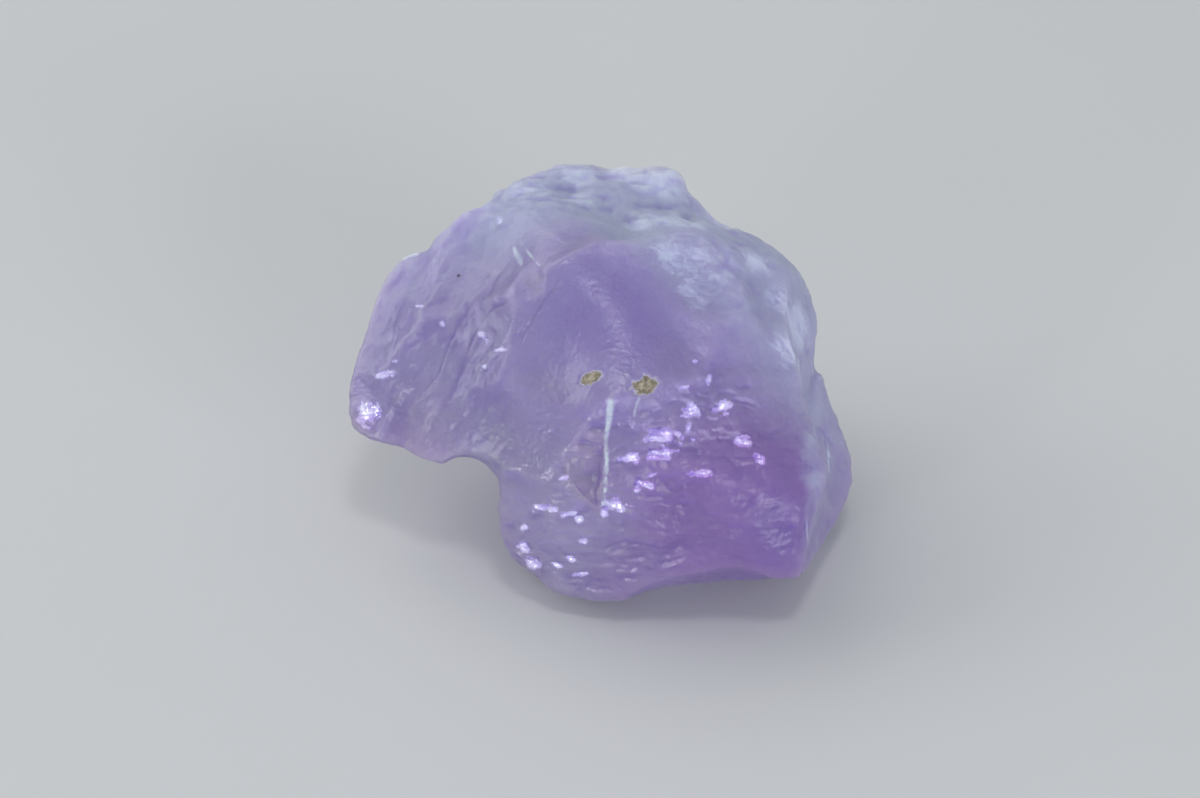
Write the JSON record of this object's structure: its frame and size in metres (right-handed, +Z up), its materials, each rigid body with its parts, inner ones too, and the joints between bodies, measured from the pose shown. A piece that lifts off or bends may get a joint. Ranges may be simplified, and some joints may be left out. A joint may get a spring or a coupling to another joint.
{
  "type": "rough kunzite crystal",
  "caption": "Rough broken crystal of clear to milky violet stone with an arm that juts out over a notch, a ledge and a flat resting face.",
  "frame": {"origin": "on the flat resting face, under the middle of the stone", "axes": "+X along the longest extent, away from the jutting arm; -Y out of the side with the wedge and the growth steps; +Z up"},
  "size_m": [0.0344, 0.0283, 0.022],
  "materials": {
    "crystal": "clear violet stone going to milky pale blue at the top and right, glassy to satin on the broken faces"
  },
  "bodies": {
    "root": {"crystal": "crystal"}
  },
  "joints": []
}
